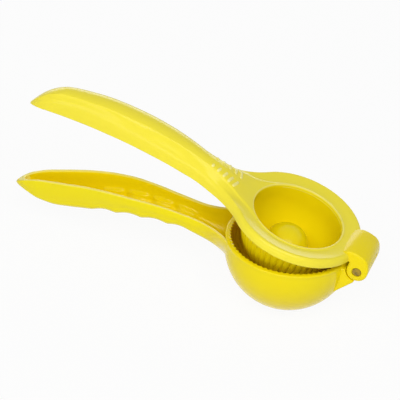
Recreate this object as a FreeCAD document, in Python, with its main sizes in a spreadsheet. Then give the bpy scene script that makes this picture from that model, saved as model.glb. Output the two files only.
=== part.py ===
import FreeCAD, Part, Sketcher
import math
import os

# Hinged lemon squeezer: two enamelled cast arms and one steel pin.
# Lengths are millimetres. The arms are drawn closed, in a frame whose origin is
# the centre of the bowl's rim: X towards the hinge, Y along the pin, Z up.

doc = FreeCAD.newDocument("squeezer")
sheet = doc.addObject("Spreadsheet::Sheet", "sizes")

SIZES = [
    # Bowl of the lower arm, an outer ball cut off at the rim and at a small foot
    ("bowl_radius", 35.0),
    ("bowl_drop", 5.0),
    ("bowl_wall", 2.8),
    ("bowl_rim_proud", 0.5),
    ("bowl_rim_round", 1.2),
    ("bowl_rim_under", 2.64),
    ("foot_radius", 8.0),
    ("flute_count", 70),
    ("flute_radius", 1.15),
    ("flute_depth", 0.75),
    ("flute_sweep", 62.0),
    ("flute_start", -14.0),
    ("drain_count", 8),
    ("drain_inner", 3.6),
    ("drain_outer", 9.6),
    ("drain_width", 2.4),
    ("drain_end_radius", 1.44),
    # Press cup and ring of the upper arm
    ("press_radius", 28.0),
    ("press_drop", 2.9),
    ("press_wall", 2.8),
    ("rib_count", 48),
    ("rib_radius", 1.5),
    ("rib_depth", 0.8),
    ("rib_sweep", 70.0),
    ("rib_start", 2.0),
    ("lip_height", 6.4),
    ("lip_round", 0.9),
    ("lip_foot", 2.2),
    ("ring_height", 5.6),
    ("ridge_radius", 34.6),
    ("ridge_height", 7.3),
    ("skirt_radius", 36.7),
    ("skirt_height", 2.4),
    ("skirt_wall", 2.6),
    ("ring_plate", 2.8),
    ("boss_radius", 12.2),
    ("boss_drop", 15.0),
    ("mouth_flare", 6.0),
    # Hinge
    ("pin_x", 41.2),
    ("pin_drop", 1.05),
    ("pin_radius", 2.3),
    ("pin_inset", 0.3),
    ("pin_clearance", 0.05),
    ("lug_half_width", 12.0),
    ("ear_radius", 5.8),
    ("knuckle_half_width", 6.0),
    ("hinge_gap", 0.5),
    ("side_gap", 0.3),
    ("lug_crest_x", 40.2),
    ("lug_crest_height", 9.0),
    ("lug_nose_radius", 6.4),
    ("lug_root_height", 6.6),
    ("lug_inner_x", 27.5),
    ("lower_lug_drop", 0.8),
    ("lower_lug_depth", 19.5),
    ("lower_lug_end_x", 40.2),
    ("lower_lug_end_drop", 8.1),
    ("lower_lug_flat", 2.0),
    # Cast handles
    ("handle_wall", 2.4),
    ("crease_wall", 1.7),
    ("shoulder_wall", 1.2),
    ("cut_past_rim", 0.6),
    ("channel_floor", 2.6),
    ("side_share", 0.93),
    ("corner_share", 0.5),
    ("shoulder_share", 0.8),
    ("scallop_radius", 14.0),
    ("scallop_depth", 1.3),
    ("scallop_first_x", -106.0),
    ("scallop_pitch", 15.0),
    ("scallop_count", 4),
    ("swell_foot", 0.65),
    ("swell_corner_share", 0.6),
    # Rest pose and seat on the table
    ("open_angle", 13.3),
]

# Stations along the handles: place, half width, height of the lower rim, height of
# the lower underside, gap up to the upper edge when closed, height of the upper
# shoulder crease, height and half width of the crease beside the crown, rise of the
# crown between its two creases.
STATIONS = [
    ("tip", -162.3, 0.9, -14.0, -15.2, 5.9, -7.4, -6.9, 0.5, 0.12),
    ("nose", -154.0, 5.1, -8.4, -16.0, 3.8, 0.6, 2.9, 3.6, 0.88),
    ("keel", -139.0, 6.9, -3.3, -20.0, 2.3, 7.8, 11.9, 4.5, 1.1),
    ("palm", -117.0, 8.9, 1.7, -15.7, 1.2, 13.0, 16.5, 5.8, 1.42),
    ("belly", -94.0, 10.3, 3.7, -11.7, 1.3, 13.8, 18.0, 5.7, 1.4),
    ("waist", -60.0, 9.0, 1.3, -10.3, 1.3, 10.4, 14.2, 4.5, 1.1),
    ("flare", -46.0, 10.5, -0.2, -12.8, 0.9, 8.0, 11.4, 6.4, 1.3),
    ("root", -34.0, 17.0, -0.5, -17.5, 1.8, 7.2, 8.0, 13.0, 1.0),
    ("throat", -26.0, 22.2, -0.5, -26.3, 2.9, 6.9, 6.0, 17.0, 0.6),
]
FIELDS = ["x", "half_width", "rim", "floor", "gap", "shoulder", "crease", "crease_half", "crown"]


def fillSheet():
    row = 1
    rows = list(SIZES)
    for station in STATIONS:
        for field, number in zip(FIELDS, station[1:]):
            rows.append((station[0] + "_" + field, number))
    for alias, number in rows:
        sheet.set("A%d" % row, alias)
        sheet.set("B%d" % row, str(number))
        sheet.setAlias("B%d" % row, alias)
        row += 1
    doc.recompute()


fillSheet()


class Size:
    """A length with its number and the sheet formula that it comes from."""

    def __init__(self, number, formula):
        self.number = number
        self.formula = formula

    def join(self, other, sign, number):
        return Size(number, "(%s %s %s)" % (self.formula, sign, other.formula))

    def __add__(self, other):
        other = asSize(other)
        return self.join(other, "+", self.number + other.number)

    def __sub__(self, other):
        other = asSize(other)
        return self.join(other, "-", self.number - other.number)

    def __mul__(self, other):
        other = asSize(other)
        return self.join(other, "*", self.number * other.number)

    def __truediv__(self, other):
        other = asSize(other)
        return self.join(other, "/", self.number / other.number)

    def __neg__(self):
        return Size(-self.number, "(0 - %s)" % self.formula)


def asSize(thing):
    if isinstance(thing, Size):
        return thing
    return Size(float(thing), repr(float(thing)))


def size(alias):
    return Size(float(sheet.get(alias)), "sizes." + alias)


def root(thing):
    return Size(math.sqrt(thing.number), "sqrt(%s)" % thing.formula)


ZERO = asSize(0)


def makeBody(name):
    body = doc.addObject("PartDesign::Body", name)
    body.Label = name
    return body


def plane(body, role):
    for feature in body.Origin.OriginFeatures:
        if feature.Role == role:
            return feature
    raise RuntimeError("no " + role)


def makeSketch(body, name, role, offset=ZERO, turn=0.0):
    """A sketch on one of the body's planes, moved along its normal by offset and
    turned about its own upright axis by turn degrees."""
    sketch = body.newObject("Sketcher::SketchObject", name)
    sketch.AttachmentSupport = (plane(body, role), [""])
    sketch.MapMode = "FlatFace"
    turned = FreeCAD.Rotation(FreeCAD.Vector(0, 1, 0), turn)
    sketch.AttachmentOffset = FreeCAD.Placement(FreeCAD.Vector(0, 0, offset.number), turned)
    if offset is not ZERO:
        sketch.setExpression("AttachmentOffset.Base.z", offset.formula)
    return sketch


def bind(sketch, index, formula):
    sketch.setExpression("Constraints[%d]" % index, formula)


def pinDown(sketch, geometry, point, place):
    """Fixes one point of a sketch at a place given by two sizes."""
    for kind, length in (("DistanceX", place[0]), ("DistanceY", place[1])):
        index = sketch.addConstraint(Sketcher.Constraint(kind, -1, 1, geometry, point, length.number))
        bind(sketch, index, length.formula)


def outline(sketch, corners, arcs=None):
    """Draws a closed outline through the corners. arcs maps the number of an edge
    to its radius and to the side on which its centre lies: 1 left, -1 right."""
    arcs = arcs or {}
    count = len(corners)
    for number in range(count):
        start = corners[number]
        end = corners[(number + 1) % count]
        first = FreeCAD.Vector(start[0].number, start[1].number, 0)
        last = FreeCAD.Vector(end[0].number, end[1].number, 0)
        if number in arcs:
            radius, side = arcs[number]
            sketch.addGeometry(arcBetween(first, last, radius.number, side), False)
        else:
            sketch.addGeometry(Part.LineSegment(first, last), False)
    for number in range(count):
        following = (number + 1) % count
        sketch.addConstraint(Sketcher.Constraint("Coincident", number, endOf(sketch, number, arcs),
                                                 following, startOf(sketch, following, arcs)))
    for number in range(count):
        pinDown(sketch, number, startOf(sketch, number, arcs), corners[number])
    for number in arcs:
        radius = arcs[number][0]
        index = sketch.addConstraint(Sketcher.Constraint("Radius", number, radius.number))
        bind(sketch, index, radius.formula)


def arcBetween(first, last, radius, side):
    """The minor arc between two points, its centre left (1) or right (-1) of the way."""
    chord = last - first
    half = chord.Length / 2.0
    left = FreeCAD.Vector(-chord.y, chord.x, 0) * (1.0 / chord.Length)
    reach = math.sqrt(max(radius * radius - half * half, 0.0))
    centre = (first + last) * 0.5 + left * (side * reach)
    begin, finish = (first, last) if side > 0 else (last, first)
    angles = [math.atan2(spot.y - centre.y, spot.x - centre.x) for spot in (begin, finish)]
    if angles[1] < angles[0]:
        angles[1] += 2 * math.pi
    whole = Part.Circle(centre, FreeCAD.Vector(0, 0, 1), radius)
    return Part.ArcOfCircle(whole, angles[0], angles[1])


def startOf(sketch, number, arcs):
    """Sketch arcs run anticlockwise, so a clockwise one starts at its end point."""
    return 2 if number in arcs and arcs[number][1] < 0 else 1


def endOf(sketch, number, arcs):
    return 1 if number in arcs and arcs[number][1] < 0 else 2


def circle(sketch, centre, radius):
    spot = FreeCAD.Vector(centre[0].number, centre[1].number, 0)
    index = sketch.addGeometry(Part.Circle(spot, FreeCAD.Vector(0, 0, 1), radius.number), False)
    pinDown(sketch, index, 3, centre)
    number = sketch.addConstraint(Sketcher.Constraint("Radius", index, radius.number))
    bind(sketch, number, radius.formula)


def feature(body, kind, name, sketch):
    made = body.newObject("PartDesign::" + kind, name)
    made.Profile = sketch
    sketch.Visibility = False
    return made


def pad(body, name, sketch, width):
    """Pads or pockets a sketch of the middle plane evenly to both sides."""
    made = feature(body, "Pad", name, sketch)
    made.SideType = "Symmetric"
    made.setExpression("Length", width.formula)
    return made


def pocket(body, name, sketch, width):
    made = feature(body, "Pocket", name, sketch)
    made.SideType = "Symmetric"
    made.Type = 0
    made.setExpression("Length", width.formula)
    return made


def loft(body, name, sketches, cuts=False):
    made = feature(body, "SubtractiveLoft" if cuts else "AdditiveLoft", name, sketches[0])
    made.Sections = sketches[1:]
    made.Ruled = False
    for sketch in sketches:
        sketch.Visibility = False
    return made


def revolve(body, kind, name, sketch, axis, angle=360.0):
    made = feature(body, kind, name, sketch)
    made.ReferenceAxis = (sketch, [axis])
    made.Angle = angle
    return made


def pattern(body, name, original, count, axis):
    made = body.newObject("PartDesign::PolarPattern", name)
    made.Originals = [original]
    made.Axis = (plane(body, axis), [""])
    made.Angle = 360.0
    made.setExpression("Occurrences", "sizes." + count)
    body.Tip = made
    return made


# Shared places: the pin's axis, and the round ear and its seat
PIN_X = size("pin_x")
PIN_Z = -size("pin_drop")
EAR = size("ear_radius")
SEAT = EAR + size("hinge_gap")
LUG_WIDTH = size("lug_half_width") * 2


def station(name, field):
    return size(name + "_" + field)


def mirrored(corners):
    """Adds the mirror image of a row of corners, from the last one back."""
    return corners + [(-across, up) for across, up in reversed(corners)]


def lowerSection(name, inset):
    """Half of the lower handle's U, from the rim down, inset by a wall or not."""
    wall = size("handle_wall") if inset else ZERO
    under = size("channel_floor") if inset else ZERO
    half = station(name, "half_width") - wall
    side = station(name, "half_width") * size("side_share") - wall
    corner = station(name, "half_width") * size("corner_share") - wall
    floor = station(name, "floor") + under
    rim = station(name, "rim") + (size("cut_past_rim") if inset else ZERO)
    return half, side, corner, floor, rim


def lowerLoft(body, title, names, inset):
    sketches = []
    for name in names:
        half, side, corner, floor, rim = lowerSection(name, inset)
        sketch = makeSketch(body, title + "_" + name, "YZ_Plane", station(name, "x"))
        right = [(side - corner, floor), (side, floor + corner), (half, rim)]
        outline(sketch, mirrored(right), {0: (corner, 1), 4: (corner, 1)})
        sketches.append(sketch)
    return loft(body, title, sketches, inset)


def upperLoft(body, title, names, inset):
    sketches = []
    for name in names:
        wall = size("handle_wall") if inset else ZERO
        past = size("cut_past_rim") if inset else ZERO
        edge = station(name, "rim") + station(name, "gap") - past
        half = station(name, "half_width") - wall
        shoulder = station(name, "half_width") * size("shoulder_share") - wall
        crease = station(name, "crease_half") - (size("crease_wall") if inset else ZERO)
        shoulderUp = station(name, "shoulder") - (size("shoulder_wall") if inset else ZERO)
        creaseUp = station(name, "crease") - wall
        sketch = makeSketch(body, title + "_" + name, "YZ_Plane", station(name, "x"))
        right = [(half, edge), (shoulder, shoulderUp), (crease, creaseUp)]
        corners = mirrored(right)
        rise = station(name, "crown")
        radius = (crease * crease + rise * rise) / (rise * 2)
        outline(sketch, corners, {2: (radius, 1)})
        sketches.append(sketch)
    return loft(body, title, sketches, inset)


NAMES = [entry[0] for entry in STATIONS]


def ballHeight(radius, across, drop):
    """Height on the lower half of a ball at a distance from its axis."""
    return -(root(radius * radius - across * across) + drop)


def bowlSolid(body):
    radius = size("bowl_radius")
    drop = size("bowl_drop")
    roundness = size("bowl_rim_round")
    foot = size("foot_radius")
    rim = root(radius * radius - drop * drop)
    proud = rim + size("bowl_rim_proud")
    under = size("bowl_rim_under")
    joinZ = -under
    joinX = root(radius * radius - (drop - under) * (drop - under))
    corners = [
        (ZERO, ballHeight(radius, foot, drop)),
        (foot, ballHeight(radius, foot, drop)),
        (joinX, joinZ),
        (proud, -roundness),
        (proud - roundness, ZERO),
        (ZERO, ZERO),
    ]
    sketch = makeSketch(body, "bowl_profile", "XZ_Plane")
    outline(sketch, corners, {1: (radius, 1), 3: (roundness, 1)})
    return revolve(body, "Revolution", "bowl", sketch, "V_Axis")


def bowlHollow(body):
    radius = size("bowl_radius") - size("bowl_wall")
    drop = size("bowl_drop")
    rim = root(radius * radius - drop * drop)
    lift = size("bowl_rim_round")
    corners = [(ZERO, -(radius + drop)), (radius, -drop), (rim, ZERO), (rim, lift), (ZERO, lift)]
    sketch = makeSketch(body, "hollow_profile", "XZ_Plane")
    outline(sketch, corners, {0: (radius, 1), 1: (radius, 1)})
    return revolve(body, "Groove", "hollow", sketch, "V_Axis")


def grooves(body, title, kind, wall, drop, radius, depth, sweep, start, count):
    """Round grooves down a ball's wall: one circle turned about the ball's centre,
    then repeated round the upright axis."""
    sketch = makeSketch(body, title + "_circle", "XY_Plane", -drop, start)
    circle(sketch, (wall + radius * kind - depth * kind, ZERO), radius)
    made = revolve(body, "Groove", title, sketch, "V_Axis")
    made.setExpression("Angle", "sizes." + sweep)
    return pattern(body, title + "_round", made, count, "Z_Axis")


def lowerLug(body):
    inner = size("lug_inner_x")
    top = -size("lower_lug_drop")
    end = size("lower_lug_end_x")
    bottom = -size("lower_lug_depth")
    endDrop = size("lower_lug_end_drop")
    slope = inner + size("lower_lug_flat")
    corners = [(inner, top), (inner, bottom), (slope, bottom), (end, -endDrop), (end, top)]
    sketch = makeSketch(body, "lug_profile", "XZ_Plane")
    outline(sketch, corners)
    pad(body, "lug", sketch, LUG_WIDTH)


def lowerSeats(body):
    """Round seats for the two ears, one at each side of the knuckle."""
    reach = LUG_WIDTH
    knuckle = size("knuckle_half_width")
    for title, sign in (("near", -1), ("far", 1)):
        offset = (knuckle + reach / 2) * sign
        sketch = makeSketch(body, "seat_" + title, "XZ_Plane", -offset)
        circle(sketch, (PIN_X, PIN_Z), SEAT)
        pocket(body, "seat_cut_" + title, sketch, reach)


def lowerKnuckle(body):
    sketch = makeSketch(body, "knuckle_profile", "XZ_Plane")
    circle(sketch, (PIN_X, PIN_Z), EAR)
    pad(body, "knuckle", sketch, size("knuckle_half_width") * 2)
    bore = makeSketch(body, "knuckle_bore", "XZ_Plane")
    circle(bore, (PIN_X, PIN_Z), size("pin_radius") + size("pin_clearance"))
    pocket(body, "bore", bore, LUG_WIDTH * 2)


def drains(body):
    """Juice slots round the bowl's foot."""
    inner = size("drain_inner")
    outer = size("drain_outer")
    width = size("drain_width")
    half = width / 2
    sketch = makeSketch(body, "drain_outline", "XY_Plane")
    corners = [(inner, -half), (outer, -half), (outer, half), (inner, half)]
    outline(sketch, corners, {1: (size("drain_end_radius"), 1), 3: (size("drain_end_radius"), 1)})
    made = feature(body, "Pocket", "drain", sketch)
    made.Type = 0
    made.setExpression("Length", "sizes.bowl_radius * 2")
    pattern(body, "drain_round", made, "drain_count", "Z_Axis")


def between(field, x):
    """A station size at a place along the handle, in a straight line between stations."""
    for first, last in zip(NAMES, NAMES[1:]):
        startX = station(first, "x")
        endX = station(last, "x")
        if x.number <= endX.number or last == NAMES[-1]:
            share = (x - startX) / (endX - startX)
            return station(first, field) + (station(last, field) - station(first, field)) * share


def scallops(body):
    """Finger hollows across the underside, with matching swells in the channel."""
    radius = size("scallop_radius")
    depth = size("scallop_depth")
    thick = size("channel_floor")
    for number in range(int(sheet.get("scallop_count"))):
        middle = size("scallop_first_x") + size("scallop_pitch") * number
        level = between("floor", middle)
        centre = level + depth - radius
        outer = radius + thick
        swellFoot = level + size("swell_foot")
        half = root(outer * outer - (swellFoot - centre) * (swellFoot - centre))
        swell = makeSketch(body, "swell_profile_%d" % number, "XZ_Plane")
        outline(swell, [(middle - half, swellFoot), (middle + half, swellFoot)], {1: (outer, 1)})
        wide = between("half_width", middle)
        reach = wide * size("side_share") - wide * size("corner_share") * size("swell_corner_share")
        pad(body, "swell_%d" % number, swell, reach * 2)
        hollow = makeSketch(body, "scallop_profile_%d" % number, "XZ_Plane")
        circle(hollow, (middle, centre), radius)
        pocket(body, "scallop_%d" % number, hollow, LUG_WIDTH * 2)


def lowerArm():
    body = makeBody("lower_arm")
    lowerLoft(body, "handle", NAMES, False)
    lowerLoft(body, "channel", NAMES[1:], True)
    scallops(body)
    bowlSolid(body)
    lowerLug(body)
    lowerSeats(body)
    lowerKnuckle(body)
    bowlHollow(body)
    drains(body)
    wall = size("bowl_radius") - size("bowl_wall")
    grooves(body, "flute", -1, wall, size("bowl_drop"), size("flute_radius"), size("flute_depth"),
            "flute_sweep", sheet.get("flute_start"), "flute_count")
    return body


def ringProfile(body):
    """Ring, cup and boss of the press in one turned profile."""
    press = size("press_radius")
    drop = size("press_drop")
    inner = press - size("press_wall")
    lipRound = size("lip_round")
    lip = size("lip_height")
    ring = size("ring_height")
    skirt = size("skirt_radius")
    skirtZ = size("skirt_height")
    boss = size("boss_radius")
    bossZ = -size("boss_drop")
    wall = size("press_wall")
    recess = boss - wall
    bossFoot = ballHeight(inner, boss, drop)
    recessFoot = ballHeight(press, recess, drop)
    plateZ = ring - size("ring_plate")
    corners = [
        (ZERO, bossZ + boss),
        (ZERO, bossZ + recess),
        (recess, bossZ),
        (recess, recessFoot),
        (press, -drop),
        (press, plateZ),
        (skirt - size("skirt_wall"), plateZ),
        (skirt - size("skirt_wall"), skirtZ),
        (skirt, skirtZ),
        (size("ridge_radius"), size("ridge_height")),
        (inner + size("lip_foot"), ring),
        (inner + lipRound, lip),
        (inner, lip - lipRound),
        (inner, -drop),
        (boss, bossFoot),
        (boss, bossZ),
    ]
    arcs = {1: (recess, -1), 3: (press, 1), 11: (lipRound, 1), 13: (inner, -1), 15: (boss, 1)}
    sketch = makeSketch(body, "ring_profile", "XZ_Plane")
    outline(sketch, corners, arcs)
    return revolve(body, "Revolution", "ring", sketch, "V_Axis")


def openCup(body):
    """Clears the handle's and lug's metal out of the cup's opening."""
    inner = size("press_radius") - size("press_wall")
    drop = size("press_drop")
    top = station("keel", "crease")
    low = -drop
    lip = size("lip_height")
    flare = size("mouth_flare")
    corners = [(ZERO, low), (inner, low), (inner, lip), (inner + flare, top), (ZERO, top)]
    sketch = makeSketch(body, "mouth_profile", "XZ_Plane")
    outline(sketch, corners)
    return revolve(body, "Groove", "mouth", sketch, "V_Axis")


def upperLug(body):
    """The block that curves over the pin and ends in the ears."""
    inner = size("lug_inner_x")
    crestX = size("lug_crest_x")
    crestZ = size("lug_crest_height")
    nose = size("lug_nose_radius")
    low = size("skirt_height")
    corners = [
        (inner, low),
        (PIN_X - EAR, low),
        (PIN_X - EAR, PIN_Z),
        (PIN_X, PIN_Z - EAR),
        (PIN_X + EAR, PIN_Z),
        (crestX + nose, crestZ - nose),
        (crestX, crestZ),
        (inner, size("lug_root_height")),
    ]
    sketch = makeSketch(body, "lug_profile", "XZ_Plane")
    outline(sketch, corners, {2: (EAR, 1), 3: (EAR, 1), 5: (nose, 1)})
    pad(body, "lug", sketch, LUG_WIDTH)


def upperSlot(body):
    sketch = makeSketch(body, "slot_circle", "XZ_Plane")
    circle(sketch, (PIN_X, PIN_Z), SEAT)
    pocket(body, "slot", sketch, (size("knuckle_half_width") + size("side_gap")) * 2)
    bore = makeSketch(body, "ear_bore", "XZ_Plane")
    circle(bore, (PIN_X, PIN_Z), size("pin_radius"))
    pocket(body, "bore", bore, LUG_WIDTH * 2)


def upperArm():
    body = makeBody("upper_arm")
    upperLoft(body, "handle", NAMES, False)
    upperLoft(body, "cavity", NAMES[1:-1], True)
    upperLug(body)
    ringProfile(body)
    openCup(body)
    upperSlot(body)
    grooves(body, "rib", 1, size("press_radius"), size("press_drop"), size("rib_radius"),
            size("rib_depth"), "rib_sweep", sheet.get("rib_start"), "rib_count")
    return body


def hingePin():
    body = makeBody("hinge_pin")
    sketch = makeSketch(body, "pin_circle", "XZ_Plane")
    circle(sketch, (PIN_X, PIN_Z), size("pin_radius"))
    pad(body, "pin", sketch, (size("lug_half_width") - size("pin_inset")) * 2)
    return body


lower = lowerArm()
upper = upperArm()
pin = hingePin()
doc.recompute()

# The bowl's foot is at height 0, and the upper arm is turned open about the pin
rise = math.sqrt(sheet.get("bowl_radius") ** 2 - sheet.get("foot_radius") ** 2) + sheet.get("bowl_drop")
lift = FreeCAD.Vector(0, 0, rise)
hinge = FreeCAD.Vector(PIN_X.number, 0, PIN_Z.number)
swing = FreeCAD.Rotation(FreeCAD.Vector(0, 1, 0), sheet.get("open_angle"))
lower.Placement = FreeCAD.Placement(lift, FreeCAD.Rotation())
opened = FreeCAD.Placement(lift + hinge, swing).multiply(FreeCAD.Placement(-hinge, FreeCAD.Rotation()))
upper.Placement = opened
pin.Placement = opened
doc.recompute()

faults = [thing.Name for thing in doc.Objects if "Invalid" in thing.State or "Error" in thing.State]
if faults:
    raise RuntimeError("failed features: " + ", ".join(faults))

os.makedirs("parts", exist_ok=True)
for body in (lower, upper, pin):
    shape = body.Shape
    if shape.isNull() or not shape.isValid() or len(shape.Solids) != 1:
        raise RuntimeError("bad shape: " + body.Label)
    shape.exportStep("parts/" + body.Label + ".step")
    print(body.Label, len(shape.Solids), round(shape.Volume, 1), shape.BoundBox)
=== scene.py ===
import math
import bmesh
import bpy
from mathutils import Matrix, Vector
from mathutils.bvhtree import BVHTree


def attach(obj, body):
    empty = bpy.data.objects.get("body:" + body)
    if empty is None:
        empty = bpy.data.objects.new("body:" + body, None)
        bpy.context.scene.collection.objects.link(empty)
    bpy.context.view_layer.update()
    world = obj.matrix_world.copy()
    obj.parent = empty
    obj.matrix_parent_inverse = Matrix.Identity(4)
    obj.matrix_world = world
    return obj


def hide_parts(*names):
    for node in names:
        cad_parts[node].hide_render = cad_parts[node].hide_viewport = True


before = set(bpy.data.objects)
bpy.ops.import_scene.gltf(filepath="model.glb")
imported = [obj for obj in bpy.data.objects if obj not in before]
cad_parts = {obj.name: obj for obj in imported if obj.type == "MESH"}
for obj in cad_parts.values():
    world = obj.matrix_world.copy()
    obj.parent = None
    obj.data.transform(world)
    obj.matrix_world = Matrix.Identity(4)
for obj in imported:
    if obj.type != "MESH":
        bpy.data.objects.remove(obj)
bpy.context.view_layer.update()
print("squeezer: CAD frame loaded")

# camera: found from the outlines of both arms in the photograph
view = {
    "azimuth": 17.23,       # degrees round the bowl's axis
    "elevation": 33.83,
    "roll": 6.26,
    "distance": 0.9477,     # from the middle of the bowl's rim
    "frame": 400,           # width of the picture in pixels
    "focal": 1755.0,        # in the same pixels
    "sensor": 36,           # millimetres
    "farthest": 20,
    "rimHeight": 0.0390735,
    "rimPixel": (290.13, 238.02),
}


def placeCamera():
    az = math.radians(view["azimuth"])
    el = math.radians(view["elevation"])
    roll = math.radians(view["roll"])
    right = Vector((math.cos(az), math.sin(az), 0))
    back = Vector((math.sin(az) * math.cos(el), -math.cos(az) * math.cos(el), math.sin(el)))
    up = back.cross(right)
    camRight = right * math.cos(roll) + up * math.sin(roll)
    camUp = up * math.cos(roll) - right * math.sin(roll)
    u, v = view["rimPixel"]
    middle = view["frame"] / 2
    offX = (u - middle) / view["focal"] * view["distance"]
    offY = (middle - v) / view["focal"] * view["distance"]
    rim = Vector((0, 0, view["rimHeight"]))
    spot = rim - camRight * offX - camUp * offY + back * view["distance"]
    data = bpy.data.cameras.new("photoCamera")
    data.sensor_width = view["sensor"]
    data.lens = view["focal"] / view["frame"] * view["sensor"]
    data.clip_end = view["farthest"]
    cam = bpy.data.objects.new("photoCamera", data)
    bpy.context.scene.collection.objects.link(cam)
    cam.matrix_world = Matrix((
        (camRight.x, camUp.x, back.x, spot.x),
        (camRight.y, camUp.y, back.y, spot.y),
        (camRight.z, camUp.z, back.z, spot.z),
        (0, 0, 0, 1)))
    bpy.context.scene.camera = cam


placeCamera()
print("squeezer: camera placed")

# enamel and pin
enamel = {
    "colour": (0.91, 0.785, 0.003, 1),
    "deepAndShade": (0.95, 0.54, 0.001, 1),     # painted shade in the cup, on the ribs and in the bowl, and the deeper tone the random clouds lean to
    "paintedHighlight": (0.96, 0.90, 0.36, 1),      # painted highlight on raised bars, rims and the lip, and a painted sheen over the upper skin
    "roughness": 0.17,
    "specular": 0.17,
    "cloudScale": 45,
    "cloudDetail": 2,
    "cloudPool": 0.10,                  # how far the clouds lean towards the deep colour
    "peelScale": 900,
    "peelDetail": 1,
    "peelStrength": 0.015,
    "peelDepth": 0.0002,
}


def noiseOn(mat, place, scale, detail):
    # a noise that is fixed to the piece's own coordinates
    noise = mat.node_tree.nodes.new("ShaderNodeTexNoise")
    noise.inputs["Scale"].default_value = scale
    noise.inputs["Detail"].default_value = detail
    mat.node_tree.links.new(place.outputs["Object"], noise.inputs["Vector"])
    return noise.outputs["Fac"]


def yellowEnamel():
    mat = bpy.data.materials.new("yellowEnamel")
    mat.use_nodes = True
    nodes = mat.node_tree.nodes
    links = mat.node_tree.links
    shader = nodes["Principled BSDF"]
    shader.inputs["Roughness"].default_value = enamel["roughness"]
    shader.inputs["Specular IOR Level"].default_value = enamel["specular"]
    place = nodes.new("ShaderNodeTexCoord")
    # enamel lies a little thicker here and there
    cloud = noiseOn(mat, place, enamel["cloudScale"], enamel["cloudDetail"])
    shade = nodes.new("ShaderNodeMapRange")
    shade.inputs["To Min"].default_value = 0.0
    shade.inputs["To Max"].default_value = enamel["cloudPool"]
    links.new(cloud, shade.inputs["Value"])
    # painted shade: a value per point leans the colour towards the deep orange in the cup, on the ribs, in
    # the bowl, on the lugs and on outer faces near the bowl
    paintedShade = nodes.new("ShaderNodeAttribute")
    paintedShade.attribute_name = "paintedShade"
    total = nodes.new("ShaderNodeMath")
    total.operation = "ADD"
    total.use_clamp = True
    links.new(shade.outputs["Result"], total.inputs[0])
    links.new(paintedShade.outputs["Fac"], total.inputs[1])
    tint = nodes.new("ShaderNodeMix")
    tint.data_type = "RGBA"
    tint.inputs["A"].default_value = enamel["colour"]
    tint.inputs["B"].default_value = enamel["deepAndShade"]
    links.new(total.outputs[0], tint.inputs["Factor"])
    # painted highlight: a value per point pales the colour on the bars, rims and lip, and a painted sheen
    # pales the whole upper skin a little
    lean = nodes.new("ShaderNodeAttribute")
    lean.attribute_name = "paintedHighlight"
    pale = nodes.new("ShaderNodeMix")
    pale.data_type = "RGBA"
    pale.inputs["B"].default_value = enamel["paintedHighlight"]
    links.new(tint.outputs["Result"], pale.inputs["A"])
    links.new(lean.outputs["Fac"], pale.inputs["Factor"])
    links.new(pale.outputs["Result"], shader.inputs["Base Color"])
    # faint orange peel of a fired coat
    peel = noiseOn(mat, place, enamel["peelScale"], enamel["peelDetail"])
    bump = nodes.new("ShaderNodeBump")
    bump.inputs["Strength"].default_value = enamel["peelStrength"]
    bump.inputs["Distance"].default_value = enamel["peelDepth"]
    links.new(peel, bump.inputs["Height"])
    links.new(bump.outputs["Normal"], shader.inputs["Normal"])
    return mat


pin = {
    # painted shade: both pin tones are darkened for the pin end sunk in its bore
    "steel": (0.23, 0.16, 0.035, 1),
    "shadedHaze": (0.41, 0.27, 0.008, 1),     # a breath of enamel over the steel, darkened as painted shade
    "roughness": 0.42,
    "metallic": 0.6,                    # where no haze covers it
    "cloudScale": 700,
    "cloudDetail": 3,
    "coverFrom": 0.35,
    "coverTo": 0.6,
}


def hazedSteel():
    mat = bpy.data.materials.new("hazedSteel")
    mat.use_nodes = True
    nodes = mat.node_tree.nodes
    links = mat.node_tree.links
    shader = nodes["Principled BSDF"]
    shader.inputs["Roughness"].default_value = pin["roughness"]
    place = nodes.new("ShaderNodeTexCoord")
    cloud = noiseOn(mat, place, pin["cloudScale"], pin["cloudDetail"])
    cover = nodes.new("ShaderNodeMapRange")
    cover.inputs["From Min"].default_value = pin["coverFrom"]
    cover.inputs["From Max"].default_value = pin["coverTo"]
    links.new(cloud, cover.inputs["Value"])
    tint = nodes.new("ShaderNodeMix")
    tint.data_type = "RGBA"
    tint.inputs["A"].default_value = pin["steel"]
    tint.inputs["B"].default_value = pin["shadedHaze"]
    links.new(cover.outputs["Result"], tint.inputs["Factor"])
    links.new(tint.outputs["Result"], shader.inputs["Base Color"])
    bare = nodes.new("ShaderNodeMapRange")
    bare.inputs["To Min"].default_value = pin["metallic"]
    bare.inputs["To Max"].default_value = 0.0
    links.new(cover.outputs["Result"], bare.inputs["Value"])
    links.new(bare.outputs["Result"], shader.inputs["Metallic"])
    return mat


coatMat = yellowEnamel()
pinMat = hazedSteel()

# shared shapes: both arms are drawn closed, in millimetres from the middle of the bowl's rim
hinge = {"x": 41.2, "z": -1.05, "openAngle": 13.3, "rimLift": 39.0735, "sides": 64}
sharpAngle = 48     # degrees from which an edge is shown sharp


def toRest(bm, opened):
    place = Matrix.Translation((0, 0, hinge["rimLift"]))
    if opened:
        pivot = Vector((hinge["x"], 0, hinge["z"]))
        swing = Matrix.Rotation(math.radians(hinge["openAngle"]), 4, "Y")
        place = place @ Matrix.Translation(pivot) @ swing @ Matrix.Translation(-pivot)
    place = Matrix.Scale(0.001, 4) @ place
    bmesh.ops.transform(bm, matrix=place, verts=bm.verts)


def hermite(t):
    # shares of the start, the slope there, the end and the slope there
    return (1 + 2 * t) * (1 - t) ** 2, t * (1 - t) ** 2, t * t * (3 - 2 * t), t * t * (t - 1)


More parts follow.
